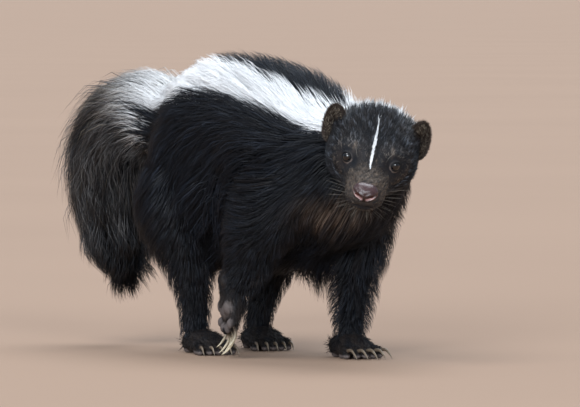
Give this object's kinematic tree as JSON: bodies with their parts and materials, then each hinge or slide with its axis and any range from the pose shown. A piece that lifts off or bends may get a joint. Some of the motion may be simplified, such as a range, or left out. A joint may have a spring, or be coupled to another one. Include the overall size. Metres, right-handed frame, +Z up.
{
  "type": "striped skunk",
  "caption": "Life-size striped skunk in mid-step, head turned to its right and lowered, tail arched over and hanging.",
  "frame": {"origin": "middle of the bounding box's underside, at floor level", "axes": "+X ahead, from the tail to the head; +Y to the animal's left; +Z up"},
  "size_m": [0.3924, 0.1368, 0.201],
  "materials": {
    "coat": "long black and white fur",
    "ear_skin": "short brown-black fur",
    "nose_skin": "moist bare skin",
    "eye": "glossy black"
  },
  "bodies": {
    "root": {"ear_left": "ear_skin", "ear_right": "ear_skin", "eye_left": "eye", "eye_right": "eye", "head": "coat", "leg_front_left": "coat", "leg_front_right": "coat", "leg_hind_left": "coat", "leg_hind_right": "coat", "neck": "coat", "nose": "nose_skin", "paw_front_left": "coat", "paw_front_right": "coat", "paw_hind_left": "coat", "paw_hind_right": "coat", "tail_base": "coat", "tail_middle": "coat", "tail_tip": "coat", "torso": "coat"}
  },
  "joints": []
}
